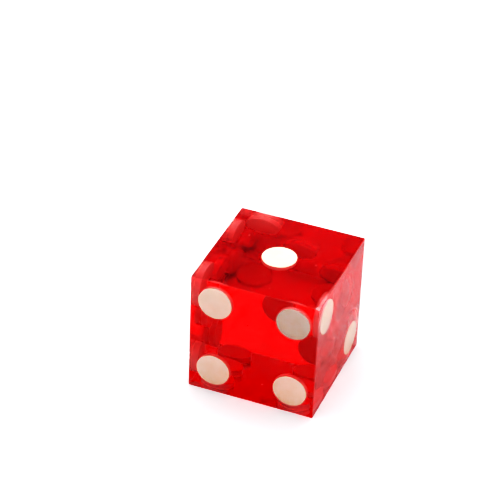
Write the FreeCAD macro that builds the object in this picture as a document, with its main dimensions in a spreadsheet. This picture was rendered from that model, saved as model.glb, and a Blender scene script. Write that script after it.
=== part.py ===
import FreeCAD, Part
import math
import os

import Sketcher

# A casino die: a clear cube with sharp edges and 21 spots. Each spot is a separate plug that fills
# a flat-bottomed blind recess and finishes flush with its face.
# Millimetres, +Z up, origin at the middle of the bottom face.
# Opposite faces add up to seven: 1 is up, 6 down, 4 front (-Y), 3 back, 2 right (+X) and 5 left.

# Driving dimensions: alias, value, meaning.
DIMENSIONS = (
    ("edge_length", 19.05, "side of the cube, three quarters of an inch"),
    ("edge_break", 0.05, "bevel that takes the burr off every edge"),
    ("spot_diameter", 5.08, "width of a recess and of the plug in it"),
    ("spot_depth", 1.02, "depth of a recess and length of its plug"),
    ("spot_pitch", 5.85, "from the middle lines of a face to its outer spots"),
)
SHEET = "Dimensions"

# Each origin plane: the row axes that it runs across and up, the row axis of its normal, and 1 or
# -1 as that normal points along the row axis or against it.
PLANES = {
    "XY_Plane": ("x", "y", "z", 1),
    "XZ_Plane": ("x", "z", "y", -1),
    "YZ_Plane": ("y", "z", "x", 1),
}

# Each face: the plane that it is parallel to, and 1 or -1 as it faces along the plane's normal or
# against it.
FACES = {
    1: ("XY_Plane", 1),
    2: ("YZ_Plane", 1),
    3: ("XZ_Plane", -1),
    4: ("XZ_Plane", 1),
    5: ("YZ_Plane", -1),
    6: ("XY_Plane", -1),
}

# The middles of each face's spots, in steps of spot_pitch across and up its plane.
MIDDLE = (0, 0)
CORNERS = ((-1, -1), (1, -1), (-1, 1), (1, 1))
SPOTS = {
    1: (MIDDLE,),
    2: ((1, -1), (-1, 1)),
    3: ((1, -1), MIDDLE, (-1, 1)),
    4: CORNERS,
    5: CORNERS + (MIDDLE,),
    6: CORNERS + ((-1, 0), (1, 0)),
}

# Sketcher's numbers for the points of its geometry and for the origin of a sketch.
START = 1
END = 2
CENTRE = 3
ORIGIN = (-1, START)


def make_sheet(doc):
    """The spreadsheet that drives every size: the meaning in column A and the value in column B."""
    sheet = doc.addObject("Spreadsheet::Sheet", SHEET)
    for row, (alias, value, meaning) in enumerate(DIMENSIONS, start=1):
        sheet.set(f"A{row}", meaning)
        sheet.set(f"B{row}", str(value))
        sheet.setAlias(f"B{row}", alias)
    doc.recompute()
    return sheet


def find_plane(body, role):
    """One of the body's own origin planes."""
    return next(item for item in body.Origin.OriginFeatures if item.Role == role)


def add_sketch(body, name, role):
    """An empty sketch on one of the body's origin planes."""
    sketch = body.newObject("Sketcher::SketchObject", name)
    sketch.AttachmentSupport = (find_plane(body, role), "")
    sketch.MapMode = "FlatFace"
    return sketch


def constrain(sketch, kind, geometry, value, expression):
    """A dimensional constraint whose value comes from the spreadsheet."""
    index = sketch.addConstraint(Sketcher.Constraint(kind, *geometry, value))
    sketch.setExpression(f"Constraints[{index}]", expression)


def draw_square(sketch):
    """A square as wide as the cube, about the sketch's origin."""
    corners = [FreeCAD.Vector(x, y) for x, y in ((-1, -1), (1, -1), (1, 1), (-1, 1))]
    for side in range(4):
        sketch.addGeometry(Part.LineSegment(corners[side], corners[(side + 1) % 4]))
    for side in range(4):
        sketch.addConstraint(Sketcher.Constraint("Coincident", side, END, (side + 1) % 4, START))
        sketch.addConstraint(Sketcher.Constraint("Vertical" if side % 2 else "Horizontal", side))
    sketch.addConstraint(Sketcher.Constraint("Symmetric", 0, START, 1, END, *ORIGIN))
    width = f"{SHEET}.edge_length"
    constrain(sketch, "DistanceX", (0, START, 0, END), 2.0, width)
    constrain(sketch, "DistanceY", (1, START, 1, END), 2.0, width)


def draw_spot(sketch, across, up):
    """A spot's circle, so many steps across and up from the middle of its face."""
    circle = sketch.addGeometry(Part.Circle(FreeCAD.Vector(across, up), FreeCAD.Vector(0, 0, 1), 0.5))
    constrain(sketch, "Diameter", (circle,), 1.0, f"{SHEET}.spot_diameter")
    for kind, steps in (("DistanceX", across), ("DistanceY", up)):
        constrain(sketch, kind, (*ORIGIN, circle, CENTRE), float(steps), f"{steps} * {SHEET}.spot_pitch")


def make_die_body(doc, sheet):
    """The clear cube about its own middle, bevelled, with the recesses of all six faces."""
    body = doc.addObject("PartDesign::Body", "DieBody")
    body.Label = "die_body"
    body.setExpression("Placement.Base.z", f"{SHEET}.edge_length / 2")

    outline = add_sketch(body, "Outline", "XY_Plane")
    draw_square(outline)
    blank = body.newObject("PartDesign::Pad", "Blank")
    blank.Profile = outline
    blank.SideType = "Symmetric"
    blank.setExpression("Length", f"{SHEET}.edge_length")
    doc.recompute()

    bevel = body.newObject("PartDesign::Chamfer", "Bevel")
    bevel.Base = (blank, [f"Edge{number}" for number in range(1, len(blank.Shape.Edges) + 1)])
    bevel.setExpression("Size", f"{SHEET}.edge_break")
    doc.recompute()

    spot_volume = math.pi * (sheet.spot_diameter / 2) ** 2 * sheet.spot_depth
    for face, (plane, facing) in FACES.items():
        volume_before = body.Shape.Volume
        circles = add_sketch(body, f"Circles{face}", plane)
        circles.setExpression("AttachmentOffset.Base.z", f"{facing} * {SHEET}.edge_length / 2")
        for across, up in SPOTS[face]:
            draw_spot(circles, across, up)
        recess = body.newObject("PartDesign::Pocket", f"Recesses{face}")
        recess.Profile = circles
        recess.Reversed = facing < 0
        recess.setExpression("Length", f"{SHEET}.spot_depth")
        doc.recompute()
        removed = volume_before - body.Shape.Volume
        if not math.isclose(removed, len(SPOTS[face]) * spot_volume, rel_tol=1e-6):
            raise ValueError(f"the recesses of face {face} take off {removed} cubic millimetres")
    return body


def make_plug(doc, body, face, number, across, up):
    """One spot: a flat-ended plug whose axis is square to its face."""
    plane, facing = FACES[face]
    across_axis, up_axis, normal_axis, direction = PLANES[plane]
    plug = doc.addObject("Part::Cylinder", f"Spot{face}{number}")
    plug.Label = f"spot_{face}_{number}"
    plug.setExpression("Radius", f"{SHEET}.spot_diameter / 2")
    plug.setExpression("Height", f"{SHEET}.spot_depth")
    plug.Placement = FreeCAD.Placement(FreeCAD.Vector(), find_plane(body, plane).Placement.Rotation)
    # A plug runs along its plane's normal: up from its recess's floor, or in from a face that
    # faces the other way.
    recess_floor = f"{SHEET}.edge_length / 2 - {SHEET}.spot_depth"
    far_face = f"-{SHEET}.edge_length / 2"
    place = {
        across_axis: f"{across} * {SHEET}.spot_pitch",
        up_axis: f"{up} * {SHEET}.spot_pitch",
        normal_axis: f"{direction} * ({recess_floor if facing > 0 else far_face})",
    }
    place["z"] += f" + {SHEET}.edge_length / 2"
    for axis, expression in place.items():
        plug.setExpression(f"Placement.Base.{axis}", expression)
    return plug


def check(doc, sub_parts):
    """Stops if any object failed, or a sub-part is not one whole solid."""
    for item in doc.Objects:
        if "Invalid" in item.State or "Error" in item.State:
            raise ValueError(f"{item.Label} failed: {item.State}")
    for item in sub_parts:
        if item.Shape.isNull() or not item.Shape.isValid() or len(item.Shape.Solids) != 1:
            raise ValueError(f"{item.Label} is not one valid solid")


def main():
    doc = FreeCAD.newDocument("CasinoDie")
    sheet = make_sheet(doc)
    body = make_die_body(doc, sheet)
    sub_parts = [body]
    for face, spots in SPOTS.items():
        for number, (across, up) in enumerate(spots, start=1):
            sub_parts.append(make_plug(doc, body, face, number, across, up))
    doc.recompute()
    check(doc, sub_parts)
    os.makedirs("parts", exist_ok=True)
    for item in sub_parts:
        item.Shape.exportStep(f"parts/{item.Label}.step")


main()
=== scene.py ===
import math
import random

import bmesh
import bpy
from mathutils import Matrix, Vector, noise
from mathutils.geometry import delaunay_2d_cdt


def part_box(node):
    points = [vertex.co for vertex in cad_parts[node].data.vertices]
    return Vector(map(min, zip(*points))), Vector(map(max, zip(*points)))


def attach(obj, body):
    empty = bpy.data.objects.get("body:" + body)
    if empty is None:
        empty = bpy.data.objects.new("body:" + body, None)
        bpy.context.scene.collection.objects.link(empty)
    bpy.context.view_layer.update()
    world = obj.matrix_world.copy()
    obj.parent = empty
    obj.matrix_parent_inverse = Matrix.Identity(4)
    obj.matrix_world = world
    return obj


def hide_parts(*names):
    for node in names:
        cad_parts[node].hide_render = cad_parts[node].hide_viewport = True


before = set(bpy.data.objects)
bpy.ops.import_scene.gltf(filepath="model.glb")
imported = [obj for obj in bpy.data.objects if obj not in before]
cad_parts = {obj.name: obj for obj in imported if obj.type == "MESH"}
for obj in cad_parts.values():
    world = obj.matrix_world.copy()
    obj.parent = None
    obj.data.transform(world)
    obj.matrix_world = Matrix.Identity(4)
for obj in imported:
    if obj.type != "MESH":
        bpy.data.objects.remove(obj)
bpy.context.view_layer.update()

# A casino die: a clear red cube with worn sharp edges, and 21 white plugs in its recesses.
# Everything is in metres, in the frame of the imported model.

MM = 0.001

# The die. The clear body's faces and recesses stop short of the plugs by a hair, so that each plug
# is the first thing met both from outside and from within, as where filler is bonded to plastic.
HAIR = 0.006 * MM
LOW, HIGH = (Vector(corner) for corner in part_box("die_body"))
CENTRE = (LOW + HIGH) / 2
HALF = (HIGH - LOW)[0] / 2
BODY_HALF = HALF - HAIR
CIRCLE_STEPS = 96
EDGE_STEPS = 240

# Wear. Every edge and corner has a fine rounding, uneven along its length, with nicks here and
# there. The edge between the top and right faces, an edge along Y, is rubbed down from its front
# end to its middle, and its front corner is chipped.
# An edge is named by the axis that it runs along and its sides on the next two axes.
EDGE_ROUNDING = 0.02 * MM
CORNER_ROUNDING = 0.05 * MM
ROUND_SHARE = 0.33  # of the cut-back, where an edge's crest lies
RIPPLE_LENGTHS = (0.5 * MM, 0.13 * MM)
EDGE_RIPPLES = (0.35, 0.18)  # shares of the rounding, one for each ripple length
RUB_RIPPLES = (0.25, 0.12)  # the same, of the rubbed width
NICK_SPACING = 0.45 * MM
NICK_LEVEL = 0.38
NICK_DEPTH = 0.22 * MM
RUBBED_EDGE = (1, (1, 1))
RUB_START, RUB_PEAK, RUB_END = -0.3, 0.0, 0.5  # shares of the edge's length, from its front end
RUB_WIDTH = 0.4 * MM  # on the top face
RUB_FALL = 0.2  # share of that width on the right face
CHIPPED_CORNER = (1, -1, 1)
CHIP_WIDTHS = (0.55 * MM, 0.42 * MM, 0.14 * MM)

# Pits: tiny dents that handling leaves in the flat faces.
PITS_PER_FACE = 5
PIT_RADII = (0.05 * MM, 0.1 * MM)
PIT_STEPS = 10
PIT_RINGS = (1.0, 0.5)  # shares of a pit's radius
PIT_DEPTH = 0.35  # share of a pit's radius
PIT_CLEARANCE = 0.3 * MM

# Plugs, and how meshes are made: where two points are one, and the triangulation's settings,
# which keep what lies inside the outline.
PLUG_RIM = 0.02 * MM
RIM_STEPS = 3
SHARP_FROM = math.radians(40)
SAME_PLACE = 0.0002 * MM
INSIDE_OUTLINE, CDT_PRECISION = 1, 1e-6

# The red body. A pair is a range, and CELLS is how many cells of noise lie in a metre.
# In a metre, the red takes (1 - RED) * RED_DENSITY of each colour's light out.
ACETATE_IOR = 1.48
RED = (0.98, 0.01, 0.08, 1.0)
RED_DENSITY = 390.0
POLISHED, HAZED = 0.07, 0.15
SIDEWAYS, FRONT_OR_BACK = 0.2, 0.8  # the normal's part along Y
SMUDGE = (0.8, 1.3)
SMUDGE_CELLS = 180.0
SMUDGE_NOISE = (0.4, 0.7)
GRIT = (0.45, 0.75)
GRIT_CELLS = 9000.0
MOST_NOISE = (0.3, 0.7)
OFF_ALL_AXES = (0.999, 0.9998)  # the normal's largest part
BETWEEN_ALL_AXES = (0.05, 0.15)  # the normal's smallest part
RUB_FROST, CHIP_FROST = 0.07, 0.12  # the share that is no longer clear
BODY_RELIEF = 0.01 * MM
BODY_RELIEF_CELLS = 12000.0
HAIRLINE_SHARE = 0.03
HAIRLINE_NOISE = 0.012
# Hairlines by turn, spacing and length.
HAIRLINES = (
    ((0.3, 0.4, 0.7), 0.5 * MM, 9 * MM),
    ((0.9, 0.2, -1.1), 0.7 * MM, 7 * MM),
)

# The filler.
FILLER_IOR = 1.5
FILLER = (0.96, 0.97, 0.82, 1.0)
FILLER_WARM = (0.94, 0.94, 0.78, 1.0)
FILLER_SPECK = (0.6, 0.5, 0.42, 1.0)
# The buried wall and end: partly the wet look of the bond, partly painted shade and painted red light
# from the body.
FILLER_BOND_AND_SHADE = (0.84, 0.75, 0.71, 1.0)
FILLER_THROUGH = 0.5  # the share of the light that goes through
CLOUD_CELLS = 900.0
SPECK_CELLS = 16000.0
SPECK_NOISE = (0.2, 0.3)
SPECK_SHARE = 0.75
FILLER_ROUGHNESS = (0.12, 0.22)
FILLER_ROUGHNESS_CELLS = 1500.0
GRINDING = ((0.0, 0.0, 0.5), 0.12 * MM, 4 * MM)
GRINDING_SHARE = 0.6
GRAIN_CELLS = 20000.0
GRAIN_SHARE = 0.4
FILLER_RELIEF = 0.004 * MM
# Where the wall's darker colour, partly painted shade, begins and where it is full.
BOND_SHADE_FROM, BOND_SHADE_TO = -0.03 * MM, -0.12 * MM  # depths below the mouth
WHITE = (1.0, 1.0, 1.0, 1.0)
# One spot's filler is darker and cooler than the others: its colour is multiplied by this.
DARKER_SPOTS = {"spot_4_4": (0.72, 0.78, 0.83, 1.0)}

# The set: a floor, an even room, and softboxes by place, size and radiance.
FLOOR_HALF = 2.0
FLOOR_HEIGHT = -0.01 * MM
FLOOR_COLOUR = (0.6, 0.6, 0.6, 1.0)
ROOM_COLOUR = (0.88, 0.93, 1.0, 1.0)
ROOM_RADIANCE = 0.81
ROOM_DIM_RADIANCE = 0.74
ROOM_BRIGHT_SIDE = (0.6, 0.8, 0.0)
ROOM_DIM_BELOW, ROOM_BRIGHT_ABOVE = -0.7, 0.2
OVERHEAD = ((-0.04, 0.06, 0.7), 0.6, 7.5)
SIDE = ((0.8, -0.1, 0.35), 0.6, 0.9)
BACK = ((0.1, 0.8, 0.2), 0.6, 1.6)

# The camera, in edge lengths of the die from its middle, and the tone of the picture. LENS and
# SENSOR are in millimetres.
EYE = (4.40, -12.49, 9.70)
AIM = (-0.296, 0.164, 0.375)
ROLL = math.radians(2.4)
LENS, SENSOR = 156.4, 36.0
BLACK_LEVEL = 0.045
TONES = ((0.02, 0.005), (0.20, 0.055), (0.30, 0.13), (0.476, 0.44))


def plugs_by_face():
    """{(axis, side): [(node, plug's middle, radius, depth)]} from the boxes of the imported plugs."""
    faces = {(axis, side): [] for axis in range(3) for side in (-1, 1)}
    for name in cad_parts:
        if not name.startswith("spot_"):
            continue
        low, high = (Vector(corner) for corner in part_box(name))
        size, middle = high - low, (low + high) / 2
        axis = min(range(3), key=lambda i: size[i])
        side = 1 if middle[axis] > CENTRE[axis] else -1
        faces[axis, side].append((name, middle, max(size) / 2, size[axis]))
    return faces


PLUGS = plugs_by_face()


def on_face(axis, side, u, v, inward=0.0):
    """The point of a face at u and v from its middle, along the two axes that follow its own."""
    point = Vector((0.0, 0.0, 0.0))
    point[axis] = side * (BODY_HALF - inward)
    point[(axis + 1) % 3] = u
    point[(axis + 2) % 3] = v
    return point + CENTRE


def corner_widths(signs):
    """How far the rounding of a corner reaches along its edge of each axis."""
    return CHIP_WIDTHS if signs == CHIPPED_CORNER else (CORNER_ROUNDING,) * 3


def rub(share):
    """How rubbed the rubbed edge is, from 0 to 1, at a share of its length from its front end."""
    if share < RUB_PEAK:
        rise = (share - RUB_START) / (RUB_PEAK - RUB_START)
    else:
        rise = (RUB_END - share) / (RUB_END - RUB_PEAK)
    rise = min(max(rise, 0.0), 1.0)
    return rise * rise * (3 - 2 * rise)


def edge_insets(axis, signs, along):
    """How far an edge is cut back along each of the two axes after its own, at a place along it."""
    where = Vector((0.0, 0.0, 0.0))
    where[axis] = along
    where[(axis + 1) % 3] = signs[0] * HALF
    where[(axis + 2) % 3] = signs[1] * HALF
    coarse, fine = (noise.noise(where / length) for length in RIPPLE_LENGTHS)
    inset = EDGE_ROUNDING * (1.0 + EDGE_RIPPLES[0] * coarse + EDGE_RIPPLES[1] * fine)
    inset += NICK_DEPTH * max(noise.noise(where / NICK_SPACING) - NICK_LEVEL, 0.0)
    if (axis, signs) != RUBBED_EDGE:
        return inset, inset
    width = RUB_WIDTH * rub((along + HALF) / (2 * HALF))
    width *= 1.0 + RUB_RIPPLES[0] * coarse + RUB_RIPPLES[1] * fine
    return inset + RUB_FALL * width, inset + width


def edge_rows():
    """{(axis, signs): [(along, inset, inset)]}: the samples of each of the twelve edges."""
    rows = {}
    for axis in range(3):
        for signs in ((-1, -1), (1, -1), (-1, 1), (1, 1)):
            ends = []
            for end in (-1, 1):
                corner = [0, 0, 0]
                corner[axis], corner[(axis + 1) % 3], corner[(axis + 2) % 3] = end, *signs
                widths = corner_widths(tuple(corner))
                along = end * (BODY_HALF - widths[axis])
                ends.append((along, widths[(axis + 1) % 3], widths[(axis + 2) % 3]))
            start, stop = ends[0][0], ends[1][0]
            row = [ends[0]]
            for step in range(1, EDGE_STEPS):
                along = start + (stop - start) * step / EDGE_STEPS
                row.append((along, *edge_insets(axis, signs, along)))
            row.append(ends[1])
            rows[axis, signs] = row
    return rows


EDGES = edge_rows()


def face_outline(axis, side):
    """The (u, v) points round one face, inside the rounding of its four edges."""
    u_axis, v_axis = (axis + 1) % 3, (axis + 2) % 3
    outline = []
    for v_sign, step in ((-1, 1), (1, -1)):
        along_u = EDGES[u_axis, (v_sign, side)][::step]
        along_v = EDGES[v_axis, (side, -v_sign)][::step]
        outline += [(along, v_sign * (BODY_HALF - inset)) for along, inset, _ in along_u[:-1]]
        outline += [(-v_sign * (BODY_HALF - inset), along) for along, _, inset in along_v[:-1]]
    return outline


def circle(radius, steps=CIRCLE_STEPS):
    """The points of a circle about the origin."""
    turns = (2 * math.pi * step / steps for step in range(steps))
    return [Vector((radius * math.cos(turn), radius * math.sin(turn))) for turn in turns]


def find_pits(axis, side, holes):
    """[(middle, radius)] of the pits in one face, clear of its holes and edges."""
    chance = random.Random(10 * axis + side)
    reach = BODY_HALF - RUB_WIDTH - PIT_CLEARANCE
    pits = []
    while len(pits) < PITS_PER_FACE:
        at = Vector((chance.uniform(-reach, reach), chance.uniform(-reach, reach)))
        size = chance.uniform(*PIT_RADII)
        if all((at - middle).length > radius + PIT_CLEARANCE for middle, radius, _ in holes):
            pits.append((at, size))
    return pits


def pit_depth(pits, point):
    """How deep a point of a face lies in its pits."""
    depth = 0.0
    for middle, radius in pits:
        share = (point - middle).length / radius
        depth += PIT_DEPTH * radius * max(1.0 - share * share, 0.0)
    return depth


def add_face(mesh, axis, side):
    """One flat face of the body with a round hole for each of its spots, and pits."""
    holes = []
    for _, middle, radius, depth in PLUGS[axis, side]:
        at = middle - CENTRE
        at = Vector((at[(axis + 1) % 3], at[(axis + 2) % 3]))
        holes.append((at, radius - HAIR, depth - 2 * HAIR))
    pits = find_pits(axis, side, holes)
    loops = [[Vector(point) for point in face_outline(axis, side)]]
    loops += [[middle + point for point in circle(radius)] for middle, radius, _ in holes]
    for middle, radius in pits:
        for share in PIT_RINGS:
            loops.append([middle + point for point in circle(radius * share, PIT_STEPS)])
    points, edges = [], []
    for loop in loops:
        first = len(points)
        points += [point / MM for point in loop]
        edges += [(first + i, first + (i + 1) % len(loop)) for i in range(len(loop))]
    points += [middle / MM for middle, _ in pits]
    flat, _, triangles, *_ = delaunay_2d_cdt(points, edges, [], INSIDE_OUTLINE, CDT_PRECISION)
    flat = [point * MM for point in flat]
    made = [mesh.verts.new(on_face(axis, side, *point, pit_depth(pits, point))) for point in flat]
    for triangle in triangles:
        inside = sum((flat[i] for i in triangle), Vector((0.0, 0.0))) / len(triangle)
        if all((inside - middle).length > radius for middle, radius, _ in holes):
            mesh.faces.new([made[i] for i in triangle])
    for middle, radius, depth in holes:
        add_recess(mesh, axis, side, middle, radius, depth)


def add_recess(mesh, axis, side, middle, radius, depth):
    """The wall and the flat floor of one blind recess."""
    ring = [middle + point for point in circle(radius)]
    mouth = [mesh.verts.new(on_face(axis, side, *point)) for point in ring]
    floor = [mesh.verts.new(on_face(axis, side, *point, depth)) for point in ring]
    for i in range(CIRCLE_STEPS):
        j = (i + 1) % CIRCLE_STEPS
        mesh.faces.new((mouth[i], mouth[j], floor[j], floor[i]))
    mesh.faces.new(floor)


def add_edge(mesh, axis, signs):
    """The rounded strip along one edge, with a line of points along its crest."""
    rows = ([], [], [])
    for along, first, second in EDGES[axis, signs]:
        insets = ((0.0, second), (ROUND_SHARE * first, ROUND_SHARE * second), (first, 0.0))
        for row, (first_inset, second_inset) in zip(rows, insets):
            point = Vector((0.0, 0.0, 0.0))
            point[axis] = along
            point[(axis + 1) % 3] = signs[0] * (BODY_HALF - first_inset)
            point[(axis + 2) % 3] = signs[1] * (BODY_HALF - second_inset)
            row.append(mesh.verts.new(point + CENTRE))
    for near, far in ((rows[0], rows[1]), (rows[1], rows[2])):
        for i in range(len(near) - 1):
            mesh.faces.new((near[i], near[i + 1], far[i + 1], far[i]))


def add_corner(mesh, signs):
    """The small facets that close one corner between its three edges."""
    widths = corner_widths(signs)
    full = [sign * BODY_HALF for sign in signs]
    flats, crests = [], []
    for axis in range(3):
        flat = Vector([full[i] - (0 if i == axis else signs[i] * widths[i]) for i in range(3)])
        insets = [ROUND_SHARE * width for width in widths]
        insets[axis] = widths[axis]
        crest = Vector([full[i] - signs[i] * insets[i] for i in range(3)])
        flats.append(mesh.verts.new(flat + CENTRE))
        crests.append(mesh.verts.new(crest + CENTRE))
    # crests[axis] ends the edge along axis, between the flats of the two other axes.
    for axis in range(3):
        mesh.faces.new((flats[axis], crests[(axis + 1) % 3], crests[(axis + 2) % 3]))
    mesh.faces.new(crests)


def make_body():
    """The clear body, built face by face, edge by edge and corner by corner."""
    mesh = bmesh.new()
    for axis in range(3):
        for side in (-1, 1):
            add_face(mesh, axis, side)
    for axis, signs in EDGES:
        add_edge(mesh, axis, signs)
    for signs in [(x, y, z) for x in (-1, 1) for y in (-1, 1) for z in (-1, 1)]:
        add_corner(mesh, signs)
    bmesh.ops.remove_doubles(mesh, verts=mesh.verts, dist=SAME_PLACE)
    bmesh.ops.recalc_face_normals(mesh, faces=mesh.faces)
    data = bpy.data.meshes.new("clear_body")
    mesh.to_mesh(data)
    mesh.free()
    body = bpy.data.objects.new("clear_body", data)
    bpy.context.scene.collection.objects.link(body)
    return body


def make_plug(node, axis, side, middle, radius, depth):
    """One spot: a disc with a finely rounded rim, its own +Z out of the face."""
    wall = radius + HAIR
    profile = [(wall, -depth - HAIR), (wall, -PLUG_RIM)]
    for step in range(1, RIM_STEPS + 1):
        turn = math.radians(90 * step / RIM_STEPS)
        out, up = PLUG_RIM * math.cos(turn), PLUG_RIM * math.sin(turn)
        profile.append((wall - PLUG_RIM + out, -PLUG_RIM + up))
    mesh = bmesh.new()
    rings = [[mesh.verts.new((*point, z)) for point in circle(r)] for r, z in profile]
    for low, high in zip(rings, rings[1:]):
        for i in range(CIRCLE_STEPS):
            j = (i + 1) % CIRCLE_STEPS
            mesh.faces.new((low[i], low[j], high[j], high[i]))
    mesh.faces.new(rings[0][::-1])
    mesh.faces.new(rings[-1])
    data = bpy.data.meshes.new(node + "_filler")
    mesh.to_mesh(data)
    mesh.free()
    data.shade_smooth()
    data.set_sharp_from_angle(angle=SHARP_FROM)
    plug = bpy.data.objects.new(node + "_filler", data)
    bpy.context.scene.collection.objects.link(plug)
    outward = Vector((0.0, 0.0, 0.0))
    outward[axis] = side
    mouth = middle + outward * depth / 2
    turn = outward.to_track_quat("Z", "Y").to_matrix().to_4x4()
    plug.matrix_world = Matrix.Translation(mouth) @ turn
    return plug


class Nodes:
    """Shorthand for building one material's node tree round its Principled shader."""

    def __init__(self, name):
        self.material = bpy.data.materials.new(name)
        self.material.use_nodes = True
        self.tree = self.material.node_tree
        self.shader = self.tree.nodes["Principled BSDF"]
        self.output = self.tree.nodes["Material Output"]

    def add(self, kind, inputs=(), **settings):
        """A node with its settings, and inputs given by name or number: a socket or a value."""
        node = self.tree.nodes.new("ShaderNode" + kind)
        for name, value in settings.items():
            setattr(node, name, value)
        for key, value in dict(inputs).items():
            self.plug(node.inputs[key], value)
        return node

    def plug(self, socket, value):
        """Links a socket, or sets its value."""
        if isinstance(value, bpy.types.NodeSocket):
            self.tree.links.new(value, socket)
        else:
            socket.default_value = value

    def math(self, operation, *values):
        """The result of a Math node."""
        return self.add("Math", enumerate(values), operation=operation).outputs[0]

    def ramp(self, value, low, high, to_low=0.0, to_high=1.0):
        """A value eased from one range to another."""
        inputs = {"Value": value, "From Min": low, "From Max": high}
        inputs.update({"To Min": to_low, "To Max": to_high})
        return self.add("MapRange", inputs, interpolation_type="SMOOTHSTEP").outputs[0]

    def noise(self, place, cells, detail=2.0):
        """Noise from 0 to 1 with so many cells in a metre."""
        inputs = {"Vector": place, "Scale": cells, "Detail": detail}
        return self.add("TexNoise", inputs).outputs["Fac"]

    def scratches(self, place, turn, spacing, length):
        """Hairlines, 1 in a scratch and 0 beside it, so far apart and about so long."""
        squash = (1 / spacing, 1 / length, 1 / spacing)
        mapping = self.add("Mapping", {"Vector": place, "Rotation": turn}, vector_type="TEXTURE")
        lines = self.add("VectorMath", {0: mapping.outputs[0], 1: squash}, operation="MULTIPLY")
        # A hairline is where the stretched noise crosses its middle value.
        grain = self.noise(lines.outputs[0], 1.0, detail=1.0)
        distance = self.math("ABSOLUTE", self.math("SUBTRACT", grain, 0.5))
        return self.ramp(distance, 0.0, HAIRLINE_NOISE, 1.0, 0.0)

    def bump(self, height, depth):
        """A normal from a height of 0 to 1 that stands for so deep a relief."""
        inputs = {"Height": height, "Distance": depth, "Strength": 1.0}
        return self.add("Bump", inputs).outputs[0]


def clear_red():
    """Polished red acetate: clear, with its colour in its depth, hairlines and worn edges."""
    nodes = Nodes("clear_red")
    shader = nodes.shader
    place = nodes.add("TexCoord").outputs["Object"]

    # The normal follows an axis on the polished faces and the recesses' floors. It is off all
    # three on edges, nicks and pits, and well between all three on corners and in some pits.
    normal = nodes.add("NewGeometry").outputs["True Normal"]
    sides = nodes.add("SeparateXYZ", {0: normal}).outputs
    sides = [nodes.math("ABSOLUTE", side) for side in sides]
    squarest = nodes.math("MAXIMUM", nodes.math("MAXIMUM", sides[0], sides[1]), sides[2])
    worn = nodes.ramp(squarest, *OFF_ALL_AXES, 1.0, 0.0)
    slightest = nodes.math("MINIMUM", nodes.math("MINIMUM", sides[0], sides[1]), sides[2])
    chipped = nodes.ramp(slightest, *BETWEEN_ALL_AXES)

    # The front and back faces have kept more of their polish than the others.
    haze = nodes.ramp(sides[1], SIDEWAYS, FRONT_OR_BACK, HAZED, POLISHED)
    smears = nodes.ramp(nodes.noise(place, SMUDGE_CELLS, detail=3.0), *SMUDGE_NOISE, *SMUDGE)
    smudge = nodes.math("MULTIPLY", haze, smears)
    grit = nodes.ramp(nodes.noise(place, GRIT_CELLS), *MOST_NOISE, *GRIT)
    roughness = nodes.add("Mix", {0: worn, 2: smudge, 3: grit}).outputs[0]

    hairlines = nodes.math("MAXIMUM", *(nodes.scratches(place, *lines) for lines in HAIRLINES))
    hairlines = nodes.math("MULTIPLY", hairlines, -HAIRLINE_SHARE)
    roughened = nodes.noise(place, BODY_RELIEF_CELLS)
    relief = nodes.math("MULTIPLY_ADD", worn, roughened, hairlines)

    shader.inputs["Base Color"].default_value = WHITE
    shader.inputs["IOR"].default_value = ACETATE_IOR
    clear = nodes.math("MULTIPLY_ADD", worn, -RUB_FROST, 1.0)
    clear = nodes.math("MULTIPLY_ADD", chipped, -CHIP_FROST, clear)
    nodes.plug(shader.inputs["Transmission Weight"], clear)
    nodes.plug(shader.inputs["Roughness"], roughness)
    nodes.plug(shader.inputs["Normal"], nodes.bump(relief, BODY_RELIEF))
    # The deeper the light goes, the more of what isn't red is taken out of it.
    absorption = nodes.add("VolumeAbsorption", {"Color": RED, "Density": RED_DENSITY})
    nodes.plug(nodes.output.inputs["Volume"], absorption.outputs[0])
    return nodes.material


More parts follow.
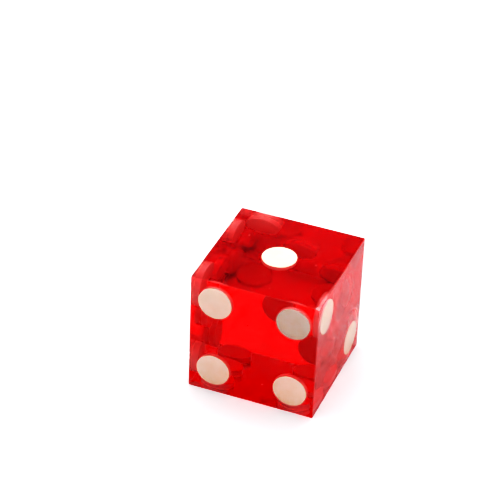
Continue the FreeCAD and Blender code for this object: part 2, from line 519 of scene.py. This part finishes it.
def white_filler():
    """Hard white filler, ground flush: it lets some light through, so the red body tints it."""
    nodes = Nodes("white_filler")
    shader = nodes.shader
    place = nodes.add("TexCoord").outputs["Object"]
    about = nodes.add("ObjectInfo").outputs
    depth = nodes.add("SeparateXYZ", {0: place}).outputs[2]
    own = nodes.add("VectorMath", {0: place, 1: about["Location"]}, operation="ADD").outputs[0]

    # The bonded wall and end are darker and pinker than the mouth: partly the wet look of filler
    # bonded to the plastic, partly painted shade and painted red light from the body around them.
    bond_and_shade = nodes.ramp(depth, BOND_SHADE_TO, BOND_SHADE_FROM, 1.0, 0.0)
    cloud = nodes.ramp(nodes.noise(own, CLOUD_CELLS, detail=3.0), *MOST_NOISE)
    ground = nodes.add("MixRGB", {0: cloud, 1: FILLER, 2: FILLER_WARM}).outputs[0]
    speck = nodes.noise(own, SPECK_CELLS, detail=1.0)
    speck = nodes.ramp(speck, *SPECK_NOISE, SPECK_SHARE, 0.0)
    ground = nodes.add("MixRGB", {0: speck, 1: ground, 2: FILLER_SPECK}).outputs[0]
    tint = {0: 1.0, 1: ground, 2: about["Color"]}
    ground = nodes.add("MixRGB", tint, blend_type="MULTIPLY").outputs[0]
    colour = nodes.add("MixRGB", {0: bond_and_shade, 1: ground, 2: FILLER_BOND_AND_SHADE}).outputs[0]

    grinding = nodes.scratches(own, *GRINDING)
    grain = nodes.math("MULTIPLY", nodes.noise(own, GRAIN_CELLS), GRAIN_SHARE)
    relief = nodes.math("MULTIPLY_ADD", grinding, -GRINDING_SHARE, grain)
    normal = nodes.bump(relief, FILLER_RELIEF)
    uneven = nodes.noise(own, FILLER_ROUGHNESS_CELLS, detail=3.0)
    roughness = nodes.ramp(uneven, *MOST_NOISE, *FILLER_ROUGHNESS)

    nodes.plug(shader.inputs["Base Color"], colour)
    nodes.plug(shader.inputs["Roughness"], roughness)
    nodes.plug(shader.inputs["Normal"], normal)
    shader.inputs["IOR"].default_value = FILLER_IOR
    through = nodes.add("BsdfTranslucent", {"Color": colour})
    both = nodes.add("MixShader", {0: FILLER_THROUGH, 1: shader.outputs[0], 2: through.outputs[0]})
    nodes.plug(nodes.output.inputs["Surface"], both.outputs[0])
    return nodes.material


def make_floor():
    """A plain pale floor, just under the die."""
    mesh = bmesh.new()
    bmesh.ops.create_grid(mesh, x_segments=1, y_segments=1, size=FLOOR_HALF)
    data = bpy.data.meshes.new("floor")
    mesh.to_mesh(data)
    mesh.free()
    nodes = Nodes("floor")
    nodes.shader.inputs["Base Color"].default_value = FLOOR_COLOUR
    nodes.shader.inputs["Roughness"].default_value = 0.9
    nodes.shader.inputs["Specular IOR Level"].default_value = 0.0
    data.materials.append(nodes.material)
    floor = bpy.data.objects.new("floor", data)
    floor.location.z = FLOOR_HEIGHT
    bpy.context.scene.collection.objects.link(floor)


def add_softbox(name, place, size, radiance):
    """A square soft light that faces the die. Its power is pi times its area and radiance."""
    data = bpy.data.lights.new(name, "AREA")
    data.shape = "SQUARE"
    data.size = size
    data.energy = math.pi * size**2 * radiance
    light = bpy.data.objects.new(name, data)
    place = Vector(place)
    turn = (place - CENTRE).to_track_quat("Z", "Y").to_matrix().to_4x4()
    light.matrix_world = Matrix.Translation(place) @ turn
    bpy.context.scene.collection.objects.link(light)


def light_room():
    """Light from all round, dimmer from the front and from the left."""
    world = bpy.data.worlds.new("room")
    world.use_nodes = True
    nodes = world.node_tree.nodes
    place = nodes.new("ShaderNodeTexCoord")
    towards = nodes.new("ShaderNodeVectorMath")
    towards.operation = "DOT_PRODUCT"
    towards.inputs[1].default_value = ROOM_BRIGHT_SIDE
    radiance = nodes.new("ShaderNodeMapRange")
    radiance.interpolation_type = "SMOOTHSTEP"
    radiance.inputs["From Min"].default_value = ROOM_DIM_BELOW
    radiance.inputs["From Max"].default_value = ROOM_BRIGHT_ABOVE
    radiance.inputs["To Min"].default_value = ROOM_DIM_RADIANCE
    radiance.inputs["To Max"].default_value = ROOM_RADIANCE
    background = nodes["Background"]
    background.inputs["Color"].default_value = ROOM_COLOUR
    link = world.node_tree.links.new
    link(place.outputs["Generated"], towards.inputs[0])
    link(towards.outputs["Value"], radiance.inputs["Value"])
    link(radiance.outputs[0], background.inputs["Strength"])
    bpy.context.scene.world = world


def place_camera():
    """The main view: from the front, a little to the right and well above."""
    data = bpy.data.cameras.new("camera")
    data.lens = LENS
    data.sensor_width = SENSOR
    data.clip_start = 0.01
    camera = bpy.data.objects.new("camera", data)
    bpy.context.scene.collection.objects.link(camera)
    eye = CENTRE + 2 * HALF * Vector(EYE)
    aim = CENTRE + 2 * HALF * Vector(AIM)
    look = (aim - eye).to_track_quat("-Z", "Y").to_matrix().to_4x4()
    camera.matrix_world = Matrix.Translation(eye) @ look @ Matrix.Rotation(ROLL, 4, "Z")
    bpy.context.scene.camera = camera


def set_rendering():
    """Enough bounces for light to cross the die, and a print's tone: deep shadows, white whites."""
    scene = bpy.context.scene
    scene.cycles.max_bounces = 32
    scene.cycles.transmission_bounces = 32
    scene.cycles.glossy_bounces = 16
    scene.cycles.diffuse_bounces = 12
    scene.cycles.caustics_reflective = True
    scene.cycles.caustics_refractive = True
    scene.cycles.blur_glossy = 0.0
    scene.cycles.sample_clamp_indirect = 0.0
    scene.view_settings.view_transform = "Standard"
    scene.view_settings.use_curve_mapping = True
    curves = scene.view_settings.curve_mapping
    curves.black_level = (BLACK_LEVEL,) * 3
    for value, tone in TONES:
        curves.curves[3].points.new(value, tone)
    curves.update()


body = make_body()
body.data.materials.append(clear_red())
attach(body, "root")
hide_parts("die_body")

filler = white_filler()
for (axis, side), plugs in PLUGS.items():
    for node, middle, radius, depth in plugs:
        plug = make_plug(node, axis, side, middle, radius, depth)
        plug.data.materials.append(filler)
        plug.color = DARKER_SPOTS.get(node, WHITE)
        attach(plug, "root")
        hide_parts(node)

make_floor()
light_room()
add_softbox("overhead", *OVERHEAD)
add_softbox("side", *SIDE)
add_softbox("back", *BACK)
place_camera()
set_rendering()
